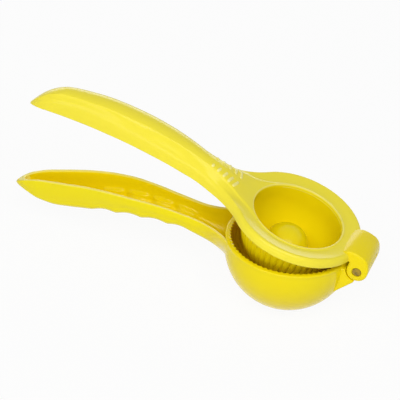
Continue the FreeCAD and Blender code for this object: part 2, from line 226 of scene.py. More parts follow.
def smoothLine(points):
    # a smooth line through points, without overshoot
    xs = [p[0] for p in points]
    ys = [p[1] for p in points]
    n = len(xs)
    steps = [(ys[i + 1] - ys[i]) / (xs[i + 1] - xs[i]) for i in range(n - 1)]
    slopes = [steps[0]]
    for i in range(1, n - 1):
        a, b = steps[i - 1], steps[i]
        slopes.append(0.0 if a * b <= 0 else 2 * a * b / (a + b))
    slopes.append(steps[-1])

    def at(x):
        x = min(max(x, xs[0]), xs[-1])
        i = 0
        while i < n - 2 and x > xs[i + 1]:
            i += 1
        h = xs[i + 1] - xs[i]
        a, b, c, d = hermite((x - xs[i]) / h)
        return a * ys[i] + b * h * slopes[i] + c * ys[i + 1] + d * h * slopes[i + 1]
    return at


def columnLine(rows, column):
    # a smooth line through one column of a table
    return smoothLine([(row[0], row[column]) for row in rows])


def ease(t):
    t = min(max(t, 0.0), 1.0)
    return t * t * (3 - 2 * t)


def mixed(a, b, t):
    return a + (b - a) * t


def paintLight(bm, name, amount):
    # the amount of painted light at each point, 0 to 1, read by its material: painted shade for one value,
    # painted highlight for the other
    layer = bm.verts.layers.float.get(name) or bm.verts.layers.float.new(name)
    for v in bm.verts:
        v[layer] = amount(v.co)


def looseObject(name, bm):
    # an object from a bmesh, which is used up
    mesh = bpy.data.meshes.new(name)
    bm.to_mesh(mesh)
    bm.free()
    piece = bpy.data.objects.new(name, mesh)
    bpy.context.scene.collection.objects.link(piece)
    return piece


def takeMesh(piece):
    # a bmesh from an object, which is removed
    bm = bmesh.new()
    bm.from_mesh(piece.data)
    bpy.data.objects.remove(piece)
    return bm


def joinInto(target, source):
    # add one bmesh's shape to another
    mesh = bpy.data.meshes.new("part")
    source.to_mesh(mesh)
    source.free()
    target.from_mesh(mesh)
    bpy.data.meshes.remove(mesh)


def newPiece(name, bm, body, mat):
    piece = looseObject(name, bm)
    piece.data.materials.append(mat)
    for face in piece.data.polygons:
        face.use_smooth = True
    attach(piece, body)
    return piece


def mirrorHalf(bm):
    parts = bm.verts[:] + bm.edges[:] + bm.faces[:]
    bmesh.ops.mirror(bm, geom=parts, axis="Y", merge_dist=0.02)


def applyModifiers(piece):
    # replace the mesh by what its modifiers make of it
    bpy.context.view_layer.update()
    graph = bpy.context.evaluated_depsgraph_get()
    made = bpy.data.meshes.new_from_object(piece.evaluated_get(graph))
    piece.modifiers.clear()
    piece.data = made


def cutWith(piece, cutters):
    for cutter in cutters:
        cut = piece.modifiers.new("cut", "BOOLEAN")
        cut.operation = "DIFFERENCE"
        cut.solver = "EXACT"
        cut.object = cutter
    applyModifiers(piece)
    for cutter in cutters:
        bpy.data.objects.remove(cutter)


def thickened(piece, thickness):
    # give a skin its wall, inwards, and hand back its bmesh
    wall = piece.modifiers.new("wall", "SOLIDIFY")
    wall.thickness = thickness
    wall.offset = -1
    wall.use_even_offset = False
    applyModifiers(piece)
    return takeMesh(piece)


def barrel(name, radius, half):
    # a round bar along the pin, in the closed frame
    bm = bmesh.new()
    bmesh.ops.create_cone(bm, cap_ends=True, segments=hinge["sides"], radius1=radius, radius2=radius,
                          depth=half * 2)
    turn = Matrix.Rotation(math.pi / 2, 3, "X")
    bmesh.ops.rotate(bm, verts=bm.verts, cent=(0, 0, 0), matrix=turn)
    bmesh.ops.translate(bm, verts=bm.verts, vec=(hinge["x"], 0, hinge["z"]))
    return looseObject(name, bm)


def sideBlock(name, outline, halfWidth, roundness, segments):
    # a block across the arm, from its outline seen from the side, with rounded sides
    bm = bmesh.new()
    verts = [bm.verts.new((x, -halfWidth, z)) for x, z in outline]
    face = bm.faces.new(verts)
    moved = bmesh.ops.extrude_face_region(bm, geom=[face])["geom"]
    verts = [m for m in moved if isinstance(m, bmesh.types.BMVert)]
    bmesh.ops.translate(bm, verts=verts, vec=(0, halfWidth * 2, 0))
    bmesh.ops.recalc_face_normals(bm, faces=bm.faces)
    sides = [e for e in bm.edges if any(len(f.verts) > 4 for f in e.link_faces)]
    bmesh.ops.bevel(bm, geom=sides, offset=roundness, offset_type="OFFSET", affect="EDGES",
                    segments=segments, profile=0.5, material=-1, clamp_overlap=True)
    return looseObject(name, bm)


def spinRound(bm, profile, steps):
    # turn a closed row of places (distance from axis, height) round the upright axis
    verts = [bm.verts.new((r, 0, z)) for r, z in profile]
    edges = [bm.edges.new(pair) for pair in zip(verts, verts[1:])]
    bmesh.ops.spin(bm, geom=verts + edges, cent=(0, 0, 0), axis=(0, 0, 1), angle=2 * math.pi,
                   steps=steps, use_merge=True, use_duplicate=False)
    bmesh.ops.remove_doubles(bm, verts=bm.verts, dist=0.0005)
    bmesh.ops.recalc_face_normals(bm, faces=bm.faces)


def ballRow(radius, centreZ, start, stop, count):
    # places down a ball's wall, by angle below its middle
    out = []
    for i in range(count + 1):
        a = math.radians(mixed(start, stop, i / count))
        out.append((radius * math.cos(a), centreZ - radius * math.sin(a)))
    return out


def roundRims(bm, span, innerRound):
    # bevel the wall's long rims; the second half of the wall's vertices is its inside
    bm.verts.ensure_lookup_table()
    inside = set(bm.verts[len(bm.verts) // 2:])

    def rims(inner):
        return [e for e in bm.edges
                if len(e.link_faces) == 2 and e.calc_face_angle(0) > math.radians(58)
                and all(span[0] < v.co.x < span[1] and (v in inside) == inner for v in e.verts)]
    for inner, offset, segments in ((False, 0.45, 3), (True, innerRound, 5)):
        bmesh.ops.bevel(bm, geom=rims(inner), offset=offset, offset_type="OFFSET", affect="EDGES",
                        segments=segments, profile=0.5, material=-1, clamp_overlap=False)


def sharpEdges(bm):
    for e in bm.edges:
        if len(e.link_faces) == 2 and e.calc_face_angle(0) > math.radians(sharpAngle):
            e.smooth = False


# upper arm: outside skin of handle, neck and ring
upperArm = {
    "tipX": -159.8,
    "neckX": -60.0,
    # place along the handle, half width, height of the bottom edge
    "edge": [(-159.8, 0.9, -7.1), (-158.0, 2.9, -6.0), (-153.5, 5.0, -4.4), (-147, 6.2, -2.7),
             (-139, 6.9, -0.9), (-117, 8.8, 2.9), (-94, 10.2, 5.0), (-78, 9.7, 4.4), (-60, 9.0, 2.6)],
    # half width and height of the crease beside the crown
    "crease": [(-159.8, 0.5, -6.2), (-158.0, 1.8, -3.2), (-153.5, 3.4, 2.9), (-148, 4.1, 7.9),
               (-142, 4.5, 11.2), (-130, 5.4, 14.2), (-118, 5.8, 16.4), (-106, 5.8, 17.6),
               (-94, 5.7, 18.0), (-82, 5.6, 17.4), (-70, 5.0, 16.1), (-60, 4.5, 14.2)],
    # height of the lower crease, which stands at this share of the half width
    "shoulder": [(-159.8, -6.6), (-158.0, -4.4), (-153.5, 0.6), (-148, 4.4), (-142, 7.2), (-130, 10.9),
                 (-117, 13.0), (-104, 13.9), (-94, 13.8), (-82, 12.9), (-70, 11.4), (-60, 10.4)],
    "shoulderShare": 0.8,
    "crown": [(-159.8, 0.1), (-153.5, 0.9), (-139, 1.2), (-117, 1.5), (-94, 1.4), (-60, 1.15)],
    "bulge": 0.35,
    "wall": 2.3,
    "rimSpan": (-150.0, 60.0),
    "rimRound": 0.45,
    # painted sheen that pales the whole upper skin
    "paintedHighlight": 0.12,
    # rows along the handle, the neck and the ring, and columns across each strip
    "handleRows": 96,
    "flareRows": 30,
    "ringRows": 72,
    "cols": 10,
}
ring = {
    # radius and height
    "lip": (25.5, 6.35),
    "ridge": (34.5, 7.25),
    "skirt": (36.68, 2.4),
    "valleyDrop": 0.62,
    "valleyAt": 0.22,       # share of the way from lip to ridge
    "skirtBulge": 0.7,
}
# heights along the neck, up to where each line meets the ring
neck = {
    "crease": [(-60, 14.2), (-46, 11.45), (-36, 8.9), (-27, 7.0), (-15, ring["lip"][1])],
    "ridge": [(-60, 10.4), (-46, 8.1), (-36, 7.35), (-27, ring["ridge"][1])],
    "skirt": [(-60, 2.6), (-46, 1.2), (-36, 1.5), (-29, ring["skirt"][1])],
    "centre": [(-60, 15.35), (-46, 12.75), (-38, 10.2), (-31, 7.9), (-25.5, ring["lip"][1] + 0.1)],
}


def flareArc(startX, startY, circle):
    # an arc that leaves the handle along X and meets a circle round the cup
    reach = (startX ** 2 + startY ** 2 - circle ** 2) / (2 * (circle - startY))
    centre = (startX, startY + reach)
    end = math.atan2(centre[1], -centre[0])

    def at(t):
        turn = t * (math.pi / 2 - end)
        # the arc runs from straight below its centre towards the cup
        return centre[0] + reach * math.sin(turn), centre[1] - reach * math.cos(turn)
    return at, end


def buildUpperSkin():
    u = upperArm
    neckX = u["neckX"]
    edgeHalf = columnLine(u["edge"], 1)
    edgeUp = columnLine(u["edge"], 2)
    creaseHalf = columnLine(u["crease"], 1)
    creaseUp = columnLine(u["crease"], 2)
    shoulderUp = smoothLine(u["shoulder"])
    crown = smoothLine(u["crown"])
    share = u["shoulderShare"]
    lipRadius, lipHeight = ring["lip"]
    valleyAt = ring["valleyAt"]

    creaseArc, creaseTurn = flareArc(neckX, creaseHalf(neckX), lipRadius)
    ridgeArc, ridgeTurn = flareArc(neckX, edgeHalf(neckX) * share, ring["ridge"][0])
    skirtArc, skirtTurn = flareArc(neckX, edgeHalf(neckX), ring["skirt"][0])
    creaseFall, ridgeFall, skirtFall, centreFall = (
        smoothLine(neck[name]) for name in ("crease", "ridge", "skirt", "centre"))

    handleRows, flareRows, ringRows, cols = u["handleRows"], u["flareRows"], u["ringRows"], u["cols"]

    def lines(row):
        # plan and height of crease, ridge and skirt lines at a row along the arm
        if row <= handleRows:
            t = row / handleRows
            x = mixed(u["tipX"], neckX, t ** 1.25)
            return ((x, creaseHalf(x), creaseUp(x)),
                    (x, edgeHalf(x) * share, shoulderUp(x)),
                    (x, edgeHalf(x), edgeUp(x)))
        if row <= handleRows + flareRows:
            t = (row - handleRows) / flareRows
            ax, ay = creaseArc(t)
            bx, by = ridgeArc(t)
            cx, cy = skirtArc(t)
            return (ax, ay, creaseFall(ax)), (bx, by, ridgeFall(bx)), (cx, cy, skirtFall(cx))
        t = (row - handleRows - flareRows) / ringRows
        spots = []
        for turn, name in ((creaseTurn, "lip"), (ridgeTurn, "ridge"), (skirtTurn, "skirt")):
            radius, height = ring[name]
            angle = mixed(turn, math.pi, t)
            spots.append((-radius * math.cos(angle), radius * math.sin(angle), height))
        return tuple(spots)

    def ringness(row):
        # 0 on the handle, 1 on the ring
        return ease((row - handleRows + 6) / (flareRows + 10))

    def strip(row, s):
        # s runs from 0 at the crease over 1 at the ridge to 2 at the bottom edge
        a, b, c = lines(row)
        r = ringness(row)
        if s <= 1:
            x, y, z = (mixed(a[i], b[i], s) for i in range(3))
            if s < valleyAt:
                dish = math.sin(math.pi * s / (2 * valleyAt))
            else:
                dish = math.cos(math.pi / 2 * (s - valleyAt) / (1 - valleyAt))
            z -= ring["valleyDrop"] * dish * r
            z += (1 - r) * u["bulge"] * math.sin(math.pi * s) * ease((row - 6) / 20)
            return x, y, z
        t = s - 1
        x, y, z = (mixed(b[i], c[i], t) for i in range(3))
        lean = mixed(u["bulge"] * 1.3, ring["skirtBulge"], r) * math.sin(math.pi * t ** 0.8)
        lean *= ease(row / 12)
        # push the wall outwards, square to the line between ridge and edge in plan
        dx, dy = c[0] - b[0], c[1] - b[1]
        far = math.hypot(dx, dy) or 1.0
        return x + dx / far * lean, y + dy / far * lean, z + lean * 0.35

    rows = handleRows + flareRows + ringRows
    bm = bmesh.new()
    made = bmesh.ops.create_grid(bm, x_segments=rows, y_segments=cols * 2, size=0.5)["verts"]
    for v in made:
        row = round((v.co.x + 0.5) * rows)
        s = (v.co.y + 0.5) * 2
        v.co = strip(row, s)

    # crown over the handle, then down the neck to the cup's lip
    crownRows = handleRows + flareRows
    made = bmesh.ops.create_grid(bm, x_segments=crownRows, y_segments=cols, size=0.5)["verts"]
    start = (neckX, creaseHalf(neckX), creaseUp(neckX))
    for v in made:
        row = round((v.co.x + 0.5) * crownRows)
        k = v.co.y + 0.5
        if row <= handleRows:
            a = lines(row)[0]
            v.co = (a[0], a[1] * k, a[2] + crown(a[0]) * (1 - k * k))
            continue
        t = (row - handleRows) / flareRows
        side = lines(row)[0]
        centreX = mixed(neckX, -lipRadius, t)
        centre = (centreX, 0.0, centreFall(centreX))
        first = (neckX, start[1] * k, start[2] + crown(neckX) * (1 - k * k))
        angle = creaseTurn * k
        last = (-lipRadius * math.cos(angle), lipRadius * math.sin(angle), lipHeight)
        corner = [(neckX, 0.0, start[2] + crown(neckX)), start, (-lipRadius, 0.0, lipHeight),
                  (-lipRadius * math.cos(creaseTurn), lipRadius * math.sin(creaseTurn), lipHeight)]
        spot = []
        for i in range(3):
            flat = mixed(mixed(corner[0][i], corner[1][i], k), mixed(corner[2][i], corner[3][i], k), t)
            spot.append(mixed(first[i], last[i], t) + mixed(centre[i], side[i], k) - flat)
        v.co = spot
    bmesh.ops.remove_doubles(bm, verts=bm.verts, dist=0.02)
    mirrorHalf(bm)
    bmesh.ops.recalc_face_normals(bm, faces=bm.faces)
    return bm


# press cup with its boss and ribs; places in its profile are (radius, height)
pressCup = {
    "inner": 25.2,
    "outer": 28.0,
    "centreZ": -2.9,
    "lip": [(26.4, 5.95), (26.3, 6.24), (26.05, 6.43), (25.75, 6.5), (25.45, 6.42), (25.2, 6.2),
            (25.05, 5.85), (24.98, 5.4)],
    "throat": [(25.0, 4.5), (25.1, 2.0), (25.18, -0.5)],
    "collar": [(28.0, -0.5), (28.0, 1.5), (28.0, 3.2), (27.6, 4.2), (26.9, 5.0), (26.4, 5.95)],
    "bossRadius": 12.3,
    "bossZ": -15.0,
    "bossWall": [-24.0, -22.0, -19.0, -16.5],
    "bossFillet": (0.12, 0.25),
    "recess": 9.4,
    "recessTop": -22.0,
    "ribs": 48,
    "ribDepth": 0.85,
    "stepsPerRib": 8,
    "ribFade": (20.0, 7.0),     # depth where the ribs start to fade, and over how much
    # painted light: a painted highlight on the lip, painted shade in the hollow and on the ribs, split at one
    # height
    "lipRadius": 25.6,
    "lipLevel": 5.6,
    "lipHighlight": (0.12, 0.3),
    "paintedShadeInside": 0.1,
    "paintedShadeRibs": 0.12,
}


def buildPressCup():
    p = pressCup
    inner, outer, centreZ = p["inner"], p["outer"], p["centreZ"]
    boss, recess = p["bossRadius"], p["recess"]
    bossFoot = math.degrees(math.acos(boss / inner))
    recessFoot = math.degrees(math.acos(recess / outer))
    profile = p["lip"] + p["throat"]
    profile += ballRow(inner, centreZ, 0, bossFoot - 1.2, 26)
    footZ = centreZ - inner * math.sin(math.radians(bossFoot))
    profile += [(boss + p["bossFillet"][0], footZ + p["bossFillet"][1])]
    profile += [(boss, z) for z in p["bossWall"]]
    dome = ballRow(boss, p["bossZ"], 0, -90, 18)
    profile += dome[:-1] + [(0, dome[-1][1]), (0, p["bossZ"] + recess)]
    profile += ballRow(recess, p["bossZ"], -80, 0, 8)
    profile += [(recess, p["recessTop"])]
    profile += ballRow(outer, centreZ, recessFoot, 0, 34)
    profile += p["collar"]
    bm = bmesh.new()
    spinRound(bm, profile, p["ribs"] * p["stepsPerRib"])
    fadeFrom, fadeOver = p["ribFade"]
    for v in bm.verts:
        x, y, z = v.co
        across = math.hypot(x, y)
        fromCentre = math.hypot(across, z - centreZ) if z < centreZ else across
        if fromCentre < outer - 0.05 or across < recess + 0.5:
            continue
        fade = 1 - ease((-z - fadeFrom) / fadeOver)
        wave = 1 - abs(math.cos(p["ribs"] / 2 * math.atan2(y, x))) ** 0.8
        cut = 1 - p["ribDepth"] * wave * fade / outer
        v.co = (x * cut, y * cut, z)
    return bm


# painted shade inside the cup and on the ribs, fading in below the lip
def cupPaintedShade(co):
    inside = math.hypot(co.x, co.y) < pressCup["lipRadius"]
    amount = pressCup["paintedShadeInside"] if inside else pressCup["paintedShadeRibs"]
    return amount * ease((pressCup["lipLevel"] - co.z) / 2)


# painted highlight along the lip
def cupPaintedHighlight(co):
    if co.z <= pressCup["lipLevel"]:
        return 0.0
    least, more = pressCup["lipHighlight"]
    return least + more * ease((0.7 - abs(math.hypot(co.x, co.y) - pressCup["lipRadius"])) / 0.5)


# lug of the upper arm: a block that curves over the pin, with two ears round a slot
upperLug = {
    "halfWidth": 12.0,
    "top": [(28.4, 5.2), (29.4, 6.1), (30.8, 7.3), (32.4, 8.5), (34.2, 9.25), (36.6, 9.5), (39.4, 9.2),
            (41.8, 8.7), (43.7, 7.6), (45.3, 5.6), (46.35, 3.0), (46.85, 0.6)],
    "back": [(31.0, 2.6), (28.4, 3.2)],
    "earRadius": 5.8,
    "earSteps": 12,
    "slotRadius": 6.75,
    "slotHalf": 6.3,
    "boreRadius": 2.32,
    "boreHalf": 20,
    "mouthRadius": 2.75,
    "mouthDepth": 1.2,
    "round": 1.0,
    # painted shade on the lug
    "paintedShade": 0.15,
}


def buildUpperLug():
    g = upperLug
    ear = g["earRadius"]
    outline = list(g["top"])
    for step in range(g["earSteps"] + 1):
        a = math.radians(mixed(0, -180, step / g["earSteps"]))
        outline.append((hinge["x"] + ear * math.cos(a), hinge["z"] + ear * math.sin(a)))
    outline += [(hinge["x"] - ear, g["back"][0][1])] + g["back"]
    block = sideBlock("lugBlock", outline, g["halfWidth"], g["round"], 4)
    cutters = [barrel("slotCutter", g["slotRadius"], g["slotHalf"]),
               barrel("boreCutter", g["boreRadius"], g["boreHalf"])]
    for side in (-1, 1):
        mouth = barrel("mouthCutter", g["mouthRadius"], g["mouthDepth"])
        for v in mouth.data.vertices:
            v.co.y += side * g["halfWidth"]
        cutters.append(mouth)
    cutWith(block, cutters)
    return takeMesh(block)


# raised grip bars on the neck, each given by its outer and inner end in plan
gripBars = {
    "ends": [((-52.7, 4.8), (-52.0, 2.7)), ((-48.9, 5.4), (-47.8, 2.2)), ((-44.9, 6.2), (-43.8, 2.0)),
             ((-41.4, 6.9), (-40.0, 1.9)), ((-38.0, 7.5), (-36.4, 1.9))],
    "halfWidth": 0.85,
    "height": 0.7,
    "above": 40,        # height from which the bars are let down on the neck
    # painted highlight on the bars
    "paintedHighlight": 0.7,
}


def buildGripBars(skin):
    g = gripBars
    ground = BVHTree.FromBMesh(skin)
    down = Vector((0, 0, -1))
    bm = bmesh.new()
    for side in (-1, 1):
        for outer, inner in g["ends"]:
            a = Vector((outer[0], outer[1] * side))
            b = Vector((inner[0], inner[1] * side))
            along = (b - a).normalized()
            across = Vector((-along.y, along.x))
            half = (b - a).length / 2 - g["halfWidth"]
            bar = bmesh.ops.create_uvsphere(bm, u_segments=24, v_segments=12, radius=1)["verts"]
            for v in bar:
                # both halves of a ball, drawn apart to the bar's length
                run = v.co.x * g["halfWidth"]
                if abs(v.co.x) > 0.01:
                    run += math.copysign(half, v.co.x)
                spot = (a + b) / 2 + along * run + across * v.co.y * g["halfWidth"]
                top = ground.ray_cast(Vector((spot.x, spot.y, g["above"])), down)[0].z
                v.co = (spot.x, spot.y, top + v.co.z * g["height"])
    bmesh.ops.recalc_face_normals(bm, faces=bm.faces)
    return bm


def makeUpperArm():
    skin = buildUpperSkin()
    bars = buildGripBars(skin)
    cup = buildPressCup()
    # painted sheen on the skin, painted shade and a lip highlight on the cup, painted highlight on the bars
    paintLight(skin, "paintedHighlight", lambda co: upperArm["paintedHighlight"])
    paintLight(cup, "paintedShade", cupPaintedShade)
    paintLight(cup, "paintedHighlight", cupPaintedHighlight)
    paintLight(bars, "paintedHighlight", lambda co: gripBars["paintedHighlight"])
    bm = thickened(newPiece("upperSkin", skin, "upper", coatMat), upperArm["wall"])
    roundRims(bm, upperArm["rimSpan"], upperArm["rimRound"])
    paintLight(bm, "paintedShade", lambda co: 0.0)
    lug = buildUpperLug()
    # painted shade on the lug
    paintLight(lug, "paintedShade", lambda co: upperLug["paintedShade"])
    for part in (cup, lug, bars):
        joinInto(bm, part)
    sharpEdges(bm)
    toRest(bm, True)
    piece = newPiece("upperCasting", bm, "upper", coatMat)
    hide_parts("upper_arm")
    print("squeezer: upper casting", len(piece.data.polygons), "faces")


makeUpperArm()


# lower arm: channel handle that runs into the ball of the bowl
lowerArm = {
    "tipX": -162.3,
    "neckX": -56.0,
    # place along the handle, half width at the rim, height of the rim, height of the underside,
    # half width at the foot
    "rows": [(-162.3, 0.8, -14.0, -15.0, 0.74), (-160.8, 2.4, -12.6, -15.5, 2.2),
             (-158.0, 3.9, -10.6, -16.3, 3.6), (-154.0, 5.2, -8.5, -17.6, 4.7),
             (-147.0, 6.5, -5.8, -19.6, 5.7), (-139.0, 7.6, -3.75, -20.0, 6.4),
             (-128.0, 9.0, -1.25, -18.2, 7.45), (-117.0, 10.0, 1.0, -15.7, 8.3),
             (-105.0, 10.9, 2.5, -13.4, 9.1), (-94.0, 11.2, 3.1, -11.7, 9.6),
             (-80.0, 10.3, 2.85, -10.4, 9.2), (-68.0, 9.3, 2.0, -10.0, 8.56),
             (-56.0, 9.0, 0.75, -10.6, 8.37)],
    "cornerShare": 0.56,
    # shares of the way from rim to keel where the side wall and the rounded corner end
    "sideEnd": 0.42,
    "cornerEnd": 0.8,
    "sideBulge": 0.35,
    "keelSag": 0.15,
    "wall": 2.1,
    "rimSpan": (-154.0, -20.0),
    "rimRound": 1.2,
    # painted light: a painted highlight on the rim, painted shade inside the channel and on the outside
    # towards the bowl
    "rimHighlight": 0.4,
    "paintedShadeInside": 0.2,
    "paintedShadeOutside": 0.12,
    "paintedShadeBlend": 20,
    # finger waves
    "waveFrom": -113.5,
    "wavePitch": 15.0,
    "waves": 4,
    "waveDepth": 1.3,
    # how high the swells inside the channel reach above its underside
    "swellTop": [(-113.0, 8.4), (-91.0, 8.0), (-77.0, 7.4), (-53.0, 6.0)],
    "swell": 1.6,
    "swellFade": 2.2,
    "swellClear": 1.0,
    # round bay at the channel's end
    "bayX": -157.6,
    "bayBow": 5.0,
    "bayFall": 7.0,
    "bayEdge": 0.75,
    # rows along the handle and the flare, and columns from rim to keel
    "handleRows": 130,
    "flareRows": 34,
    "cols": 38,
    # pull of the handle's and of the ball's direction on the flare
    "handlePull": 1.15,
    "ballPull": 0.85,
}
bowl = {
    "radius": 35.0,
    "centreZ": -5.0,
    "wall": 2.8,
    "foot": 8.0,
    "rimProud": 0.5,
    # rim, as steps outwards from the proud edge and from the inner wall, and height
    "rimOutside": [(-0.12, -1.3), (0, -0.9), (-0.1, -0.45), (-0.4, -0.15), (-0.9, 0.0)],
    "rimInside": [(0.5, 0.0), (0.15, -0.12), (0, -0.45)],
    "flutes": 70,
    "fluteDepth": 0.8,
    "stepsPerFlute": 8,
    "fluteFade": (25.0, 5.0),
    "drains": 8,
    "drainSize": (7.4, 2.4, 20),
    "drainPlace": (7.3, 0, -38),
    "drainRound": 1.0,
    # painted shade inside the bowl
    "paintedShadeInside": 0.6,
    # where the handle's lines land on the ball: degrees round from the handle, height
    "landRim": (40.4, -0.7),
    "landUnder": (0.0, -30.5),
}


def buildLowerSkin():
    w = lowerArm
    half, rim, under, foot = (columnLine(w["rows"], column) for column in (1, 2, 3, 4))
    neckX, sideEnd, cornerEnd = w["neckX"], w["sideEnd"], w["cornerEnd"]

    def wave(x):
        t = (x - w["waveFrom"]) / w["wavePitch"]
        if t < 0 or t > w["waves"]:
            return 0.0
        return w["waveDepth"] * math.sin(math.pi * (t % 1.0)) ** 1.2

    def section(x, s):
        # s runs from 0 at the rim to 1 at the middle of the underside
        wide = half(x)
        side = foot(x)
        corner = side * w["cornerShare"]
        low = under(x)
        if s < sideEnd:
            t = s / sideEnd
            y = mixed(wide, side, t) + w["sideBulge"] * math.sin(math.pi * t)
            z = mixed(rim(x), low + corner, t)
        elif s < cornerEnd:
            a = math.pi / 2 * (s - sideEnd) / (cornerEnd - sideEnd)
            y, z = side - corner + corner * math.cos(a), low + corner - corner * math.sin(a)
        else:
            t = (s - cornerEnd) / (1 - cornerEnd)
            y = mixed(side - corner, 0.0, t)
            z = low - w["keelSag"] * math.sin(math.pi / 2 * t)
        return y, z + wave(x) * ease((s - 0.15) / 0.35)

    def landing(s):
        # place on the ball and direction there
        share = ease(s)
        turn = math.radians(mixed(bowl["landRim"][0], bowl["landUnder"][0], s ** 1.3))
        z = mixed(bowl["landRim"][1], bowl["landUnder"][1], s ** 1.15)
        out = Vector((-math.cos(turn), math.sin(turn), 0))
        across = math.sqrt(bowl["radius"] ** 2 - (z - bowl["centreZ"]) ** 2)
        spot = out * across + Vector((0, 0, z))
        normal = (spot - Vector((0, 0, bowl["centreZ"]))).normalized()
        around = Vector((math.sin(turn), math.cos(turn), 0))
        down = normal.cross(around)
        if down.z > 0:
            down = -down
        way = around * (1 - share) + down * share
        way = (way - normal * way.dot(normal)).normalized()
        return spot, way

    handleRows, flareRows, cols = w["handleRows"], w["flareRows"], w["cols"]
    bm = bmesh.new()
    # painted highlight along the rim
    paintedHighlight = bm.verts.layers.float.new("paintedHighlight")
    rows = handleRows + flareRows
    made = bmesh.ops.create_grid(bm, x_segments=rows, y_segments=cols, size=0.5)["verts"]
    for v in made:
        row = round((v.co.x + 0.5) * rows)
        s = v.co.y + 0.5
        v[paintedHighlight] = w["rimHighlight"] if s < 0.01 else 0.0
        if row <= handleRows:
            x = mixed(w["tipX"], neckX, (row / handleRows) ** 1.15)
            v.co = (x, *section(x, s))
            continue
        a, b, c, d = hermite((row - handleRows) / flareRows)
        start = Vector((neckX, *section(neckX, s)))
        lead = (start - Vector((neckX - 0.5, *section(neckX - 0.5, s)))).normalized()
        spot, way = landing(s)
        reach = (spot - start).length
        v.co = start * a + lead * (reach * w["handlePull"]) * b + spot * c + way * (reach * w["ballPull"]) * d
    mirrorHalf(bm)
    bmesh.ops.recalc_face_normals(bm, faces=bm.faces)
    return bm


def swellInside(bm):
    # the finger waves show inside the channel as low swells along the foot of each wall
    w = lowerArm
    half = columnLine(w["rows"], 1)
    under = columnLine(w["rows"], 3)
    top = smoothLine(w["swellTop"])
    bm.verts.ensure_lookup_table()
    count = len(bm.verts) // 2      # the wall's second half of vertices is its inside
    # painted shade: inside the channel, and growing on the outside towards the bowl
    paintedShade = bm.verts.layers.float.new("paintedShade")
    for v in bm.verts[:count]:
        v[paintedShade] = w["paintedShadeOutside"] * ease((v.co.x - w["neckX"]) / w["paintedShadeBlend"])
    for v in bm.verts[count:]:
        v[paintedShade] = w["paintedShadeInside"]
        t = (v.co.x - w["waveFrom"]) / w["wavePitch"]
        if t < 0 or t > w["waves"] or abs(v.co.y) < w["swellClear"]:
            continue
        rise = v.co.z - under(v.co.x)
        swell = w["swell"] * ease(1.15 * math.sin(math.pi * (t % 1.0)))
        swell *= ease((top(v.co.x) - rise) / w["swellFade"])
        swell *= ease((abs(v.co.y) / half(v.co.x) - 0.1) / 0.4)
        v.co.y -= math.copysign(swell, v.co.y)
        v.co.z += swell * 0.5


def buildLowerTip():
    # the solid end of the handle, which closes the channel with a round bay
    w = lowerArm
    half = columnLine(w["rows"], 1)
    rim = columnLine(w["rows"], 2)
    edge = w["bayEdge"]
    bm = bmesh.new()
    made = bmesh.ops.create_grid(bm, x_segments=16, y_segments=16, size=0.5)["verts"]
    for v in made:
        t, k = v.co.x + 0.5, v.co.y * 2
        bay = mixed(w["bayX"], w["bayX"] + w["bayBow"], k * k)
        if t <= edge:
            x = mixed(w["tipX"] + 0.1, bay, t / edge)
            z = rim(x) - 0.05 - 0.25 * ease((t - 0.5) / (edge - 0.5))
        else:
            drop = (t - edge) / (1 - edge)
            x = bay + 2.2 * drop ** 2
            z = rim(x) - 0.3 - w["bayFall"] * drop
        v.co = (x, (half(x) - 0.25) * k, z)
    bmesh.ops.recalc_face_normals(bm, faces=bm.faces)
    if sum(f.normal.z for f in bm.faces) < 0:
        bmesh.ops.reverse_faces(bm, faces=bm.faces)
    return bm


def buildBowl():
    p = bowl
    centreZ = p["centreZ"]
    inner = p["radius"] - p["wall"]
    footAngle = math.degrees(math.acos(p["foot"] / p["radius"]))
    proud = math.sqrt(p["radius"] ** 2 - centreZ ** 2) + p["rimProud"]
    rimInner = math.sqrt(inner ** 2 - centreZ ** 2)
    outer = ballRow(p["radius"], centreZ, footAngle, -4.2, 36)
    profile = [(r, outer[0][1]) for r in (0, 3.0, 6.0)] + outer
    profile += [(proud + r, z) for r, z in p["rimOutside"]]
    profile += [(rimInner + r, z) for r, z in p["rimInside"]]
    start = -math.degrees(math.asin((-centreZ - 0.8) / inner))
    profile += ballRow(inner, centreZ, start, 90, 40)[:-1] + [(0, centreZ - inner)]
    bm = bmesh.new()
    spinRound(bm, profile, p["flutes"] * p["stepsPerFlute"])
    fadeFrom, fadeOver = p["fluteFade"]
    for v in bm.verts:
        x, y, z = v.co
        across = math.hypot(x, y)
        if across > rimInner + 0.9 or across < 2:
            continue
        if math.hypot(across, z - centreZ) > inner + 0.9 and z < -0.8:
            continue
        fade = 1 - ease((-z - fadeFrom) / fadeOver)
        groove = (0.5 + 0.5 * math.cos(p["flutes"] * math.atan2(y, x))) ** 0.8
        cut = 1 + p["fluteDepth"] * groove * fade / inner
        v.co = (x * cut, y * cut, z)
    return bm


def cutDrains(bm):
    body = looseObject("bowlBody", bm)
    cutter = bmesh.new()
    for number in range(bowl["drains"]):
        slot = bmesh.ops.create_cube(cutter, size=1.0)["verts"]
        bmesh.ops.scale(cutter, verts=slot, vec=bowl["drainSize"])
        bmesh.ops.translate(cutter, verts=slot, vec=bowl["drainPlace"])
        turn = Matrix.Rotation(2 * math.pi * number / bowl["drains"], 3, "Z")
        bmesh.ops.rotate(cutter, verts=slot, cent=(0, 0, 0), matrix=turn)
    upright = [e for e in cutter.edges if abs(e.verts[0].co.z - e.verts[1].co.z) > 10]
    bmesh.ops.bevel(cutter, geom=upright, offset=bowl["drainRound"], offset_type="OFFSET", affect="EDGES",
                    segments=5, profile=0.5, material=-1)
    cutWith(body, [looseObject("drainCutter", cutter)])
    return takeMesh(body)


